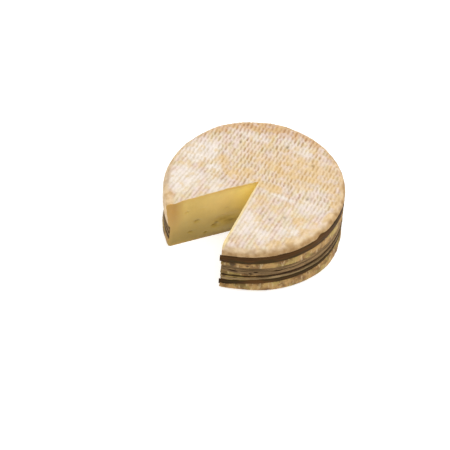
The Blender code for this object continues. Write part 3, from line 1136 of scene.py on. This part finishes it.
def add_blade(name, strap, inner, thickness, ragged, creases, seed, stands_out=0.0):
    """A flat leaf: a closed section with a creased face and ragged edges, carried from cut to cut. Its
    right-hand end stands out of the cut by `stands_out` of its length.
    """
    around_cells = BLADE_FACE + BLADE_BACK
    piece, along, across = add_grid(name, BLADE_CELLS, around_cells)
    along = along * (1.0 + stands_out) - stands_out
    step = np.round(across * around_cells) % around_cells
    on_face = step <= BLADE_FACE
    width = np.where(on_face, 2 * step / BLADE_FACE - 1.0,
                     (1.0 - 2 * (step - BLADE_FACE) / BLADE_BACK) * 0.94)
    angle = between_cuts(along)
    low, high = strap_edges(strap, angle)
    low_edge = ragged * run_noise(angle, 1.0, 0.0050, seed, layers=3)
    high_edge = ragged * run_noise(angle, 2.0, 0.0050, seed + 1, layers=3)
    middle = (low + high + low_edge + high_edge) / 2
    half = (high - low + high_edge - low_edge) / 2 + 0.00026
    height = middle + half * width
    crease = np.cos(math.pi * creases * (width + 0.15 * run_noise(angle, 3.0, 0.020, seed + 2)))
    face = thickness * (0.55 + 0.45 * np.sqrt(np.maximum(0.0, 1.0 - width ** 2)))
    face = face + 0.00006 * crease * (1.0 - width ** 2)
    face = face + 0.00007 * run_noise(angle, 5.0 + width * 0.004, 0.0045, seed + 3)
    offset = inner + np.where(on_face, face, 0.0)
    set_points(piece, strap_place(along, height, offset))
    shade = 0.5 + 0.5 * run_noise(angle, 7.0, 0.022, seed + 4)
    finish_band(piece, angle, height, middle, 0.01 * seed, shade)
    return piece


# A strand's steps along it and round it
FIBRE_CELLS = 420
FIBRE_SIDES = 8


def add_strand(name, strap, place, half_width, thickness, inner, wander, seed):
    """One fibre of a frayed strap: a thin flattened rod that wanders up and down across the strap."""
    piece, along, across = add_grid(name, FIBRE_CELLS, FIBRE_SIDES)
    turn = 2 * math.pi * (np.round(across * FIBRE_SIDES) % FIBRE_SIDES) / FIBRE_SIDES
    angle = between_cuts(along)
    low, high = strap_edges(strap, angle)
    row = 0.1 * seed
    drift = wander * run_noise(angle, row, 0.024, seed, layers=2)
    middle = (low + high) / 2 + (high - low) / 2 * np.clip(place + drift, -1.05, 1.05)
    half = half_width * (1.0 + 0.35 * run_noise(angle, row, 0.012, seed + 1))
    rise = 0.00014 * run_noise(angle, row, 0.016, seed + 2)
    height = middle - half * np.cos(turn)
    offset = inner + thickness / 2 * (1.0 + np.sin(turn)) + rise
    set_points(piece, strap_place(along, height, offset))
    own_shade = 0.45 + 0.45 * lattice_value(np.array([[seed, 3, 1]]), 9)[0]
    shade = np.clip(own_shade + 0.55 * run_noise(angle, row, 0.012, seed + 3), 0.0, 1.0)
    finish_band(piece, angle, height, middle, 0.013 * seed, shade)
    return piece


def add_frayed_strap():
    """The frayed strap: strands of uneven width and tone over a dark backing leaf, which shows as painted
    shade between them.
    """
    # A dark leaf at the darkest tone, behind the strands. It stands in for the shade in the gaps between
    # them.
    backing = add_blade("frayed_shade_backing", "strap_middle", -0.00088, 0.00022, 0.00020, 3, 301)
    backing_shade = backing.data.attributes["shade"]
    backing_shade.data.foreach_set("value", np.zeros(len(backing.data.vertices), dtype=np.float32))
    pieces = [backing]
    count = 8
    for number in range(count):
        place = -0.86 + 1.72 * number / (count - 1)
        size = 0.00050 + 0.00018 * lattice_value(np.array([[number, 8, 2]]), 4)[0]
        pieces.append(add_strand("frayed_fibre", "strap_middle", place, size, 0.00042,
                                 -0.00070 + 0.00010 * (number % 2), 0.18, 310 + 10 * number))
    return join("sedge_frayed", pieces)


def place_strap(piece, node, material, degrees=50.0):
    piece.data.materials.clear()
    piece.data.materials.append(material)
    smooth(piece, degrees)
    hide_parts(node)
    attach(piece, "root")


def add_straps():
    fibre = fibre_group()
    dark = sedge_material("dark_sedge", fibre, (34, 19, 6), (82, 54, 24), (48, 41, 18), (26, 16, 6), 0.25,
                          gloss=0.50)
    brown = sedge_material("frayed_sedge", fibre, (40, 28, 14), (142, 114, 78), (78, 64, 42),
                           (34, 24, 14), 0.8)
    pale = sedge_material("pale_sedge", fibre, (82, 66, 40), (152, 127, 90), (104, 84, 56), (52, 38, 22), 0.4)
    top = add_blade("sedge_top", "strap_top", -0.00086, 0.00078, 0.00016, 3, 201, stands_out=0.0056)
    place_strap(top, "strap_top", dark)
    bottom = add_blade("sedge_bottom", "strap_bottom", -0.00086, 0.00072, 0.00018, 4, 211,
                       stands_out=0.0046)
    place_strap(bottom, "strap_bottom", dark)
    pale_leaf = add_blade("sedge_pale", "strap_pale", -0.00086, 0.00074, 0.00030, 2, 221)
    place_strap(pale_leaf, "strap_pale", pale)
    thin = add_strand("sedge_thin", "strap_thin", 0.0, 0.00044, 0.00066, -0.00084, 0.40, 231)
    place_strap(thin, "strap_thin", dark)
    place_strap(add_frayed_strap(), "strap_middle", brown)


def add_cheese():
    mottle = mottle_group()
    wheel = add_whole_wheel()
    knife = add_knife()
    rind = rind_material(mottle)
    paste = paste_material(mottle)
    for piece in (wheel, knife):
        piece.data.materials.append(rind)
        piece.data.materials.append(paste)
    knife.data.polygons.foreach_set("material_index", np.ones(len(knife.data.polygons), dtype=np.int32))
    cut_wedge(wheel, knife)
    paint_wheel(wheel)
    smooth(wheel, 48.0)
    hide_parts("cheese")
    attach(wheel, "root")


# Floor, light and camera

WHITE = (1.0, 1.0, 1.0, 1.0)

# The side that the sun shines from, and its rise for each metre level
SUN_DEGREES = 50.0
SUN_RISE = 1.9

CAMERA_AZIMUTH = 41.42
CAMERA_ELEVATION = 46.29
CAMERA_DISTANCE = 1.8
CAMERA_LENS = 216.4
CAMERA_ROLL = 4.785
WHEEL_MIDDLE_PIXEL = (253.58, 204.85)
PICTURE_SIZE = 450
SENSOR_WIDTH = 36.0


def add_floor():
    deselect_all()
    bpy.ops.mesh.primitive_plane_add(size=16.0, location=(0.0, 0.0, 0.0))
    floor = bpy.context.object
    floor.name = "studio_floor"
    material, tree, shader = new_material("white_floor", Roughness=0.9, Emission_Strength=0.60)
    shader.inputs["Emission Color"].default_value = WHITE
    tint = mix_colours(tree, noise(tree, object_place(tree), 3.0), (0.63, 0.63, 0.63, 1.0),
                       (0.65, 0.65, 0.65, 1.0))
    tree.links.new(tint, shader.inputs["Base Color"])
    floor.data.materials.append(material)


def add_lights():
    world = bpy.data.worlds.new("studio")
    bpy.context.scene.world = world
    world.use_nodes = True
    light = world.node_tree.nodes["Background"]
    light.inputs["Color"].default_value = WHITE
    light.inputs["Strength"].default_value = 1.0
    sun = bpy.data.lights.new("key", "SUN")
    sun.energy = 1.25
    sun.angle = math.radians(45.0)
    lamp = bpy.data.objects.new("key", sun)
    bpy.context.scene.collection.objects.link(lamp)
    turn = math.radians(SUN_DEGREES)
    toward = Vector((math.cos(turn), math.sin(turn), SUN_RISE))
    lamp.rotation_euler = toward.to_track_quat("Z", "Y").to_euler()


def add_camera():
    data = bpy.data.cameras.new("camera")
    data.lens = CAMERA_LENS
    data.sensor_width = SENSOR_WIDTH
    camera = bpy.data.objects.new("camera", data)
    bpy.context.scene.collection.objects.link(camera)
    turn = math.radians(CAMERA_AZIMUTH)
    rise = math.radians(CAMERA_ELEVATION)
    right = Vector((math.cos(turn), math.sin(turn), 0.0))
    back = Vector((math.sin(turn) * math.cos(rise), -math.cos(turn) * math.cos(rise), math.sin(rise)))
    up = back.cross(right)
    roll = math.radians(CAMERA_ROLL)
    rolled_right = right * math.cos(roll) + up * math.sin(roll)
    rolled_up = up * math.cos(roll) - right * math.sin(roll)
    per_pixel = CAMERA_DISTANCE * SENSOR_WIDTH / CAMERA_LENS / PICTURE_SIZE
    aside = (WHEEL_MIDDLE_PIXEL[0] - PICTURE_SIZE / 2) * per_pixel
    above = (PICTURE_SIZE / 2 - WHEEL_MIDDLE_PIXEL[1]) * per_pixel
    middle = Vector((*WHEEL_AXIS, WHEEL_HEIGHT / 2))
    camera.location = middle + back * CAMERA_DISTANCE
    aim = middle - rolled_right * aside - rolled_up * above
    look = (camera.location - aim).normalized()
    side = rolled_up.cross(look).normalized()
    top = look.cross(side)
    camera.rotation_euler = Matrix((side, top, look)).transposed().to_euler()
    bpy.context.scene.camera = camera


add_camera()
add_floor()
add_lights()
add_cheese()
add_straps()
bpy.context.scene.view_settings.view_transform = "Standard"
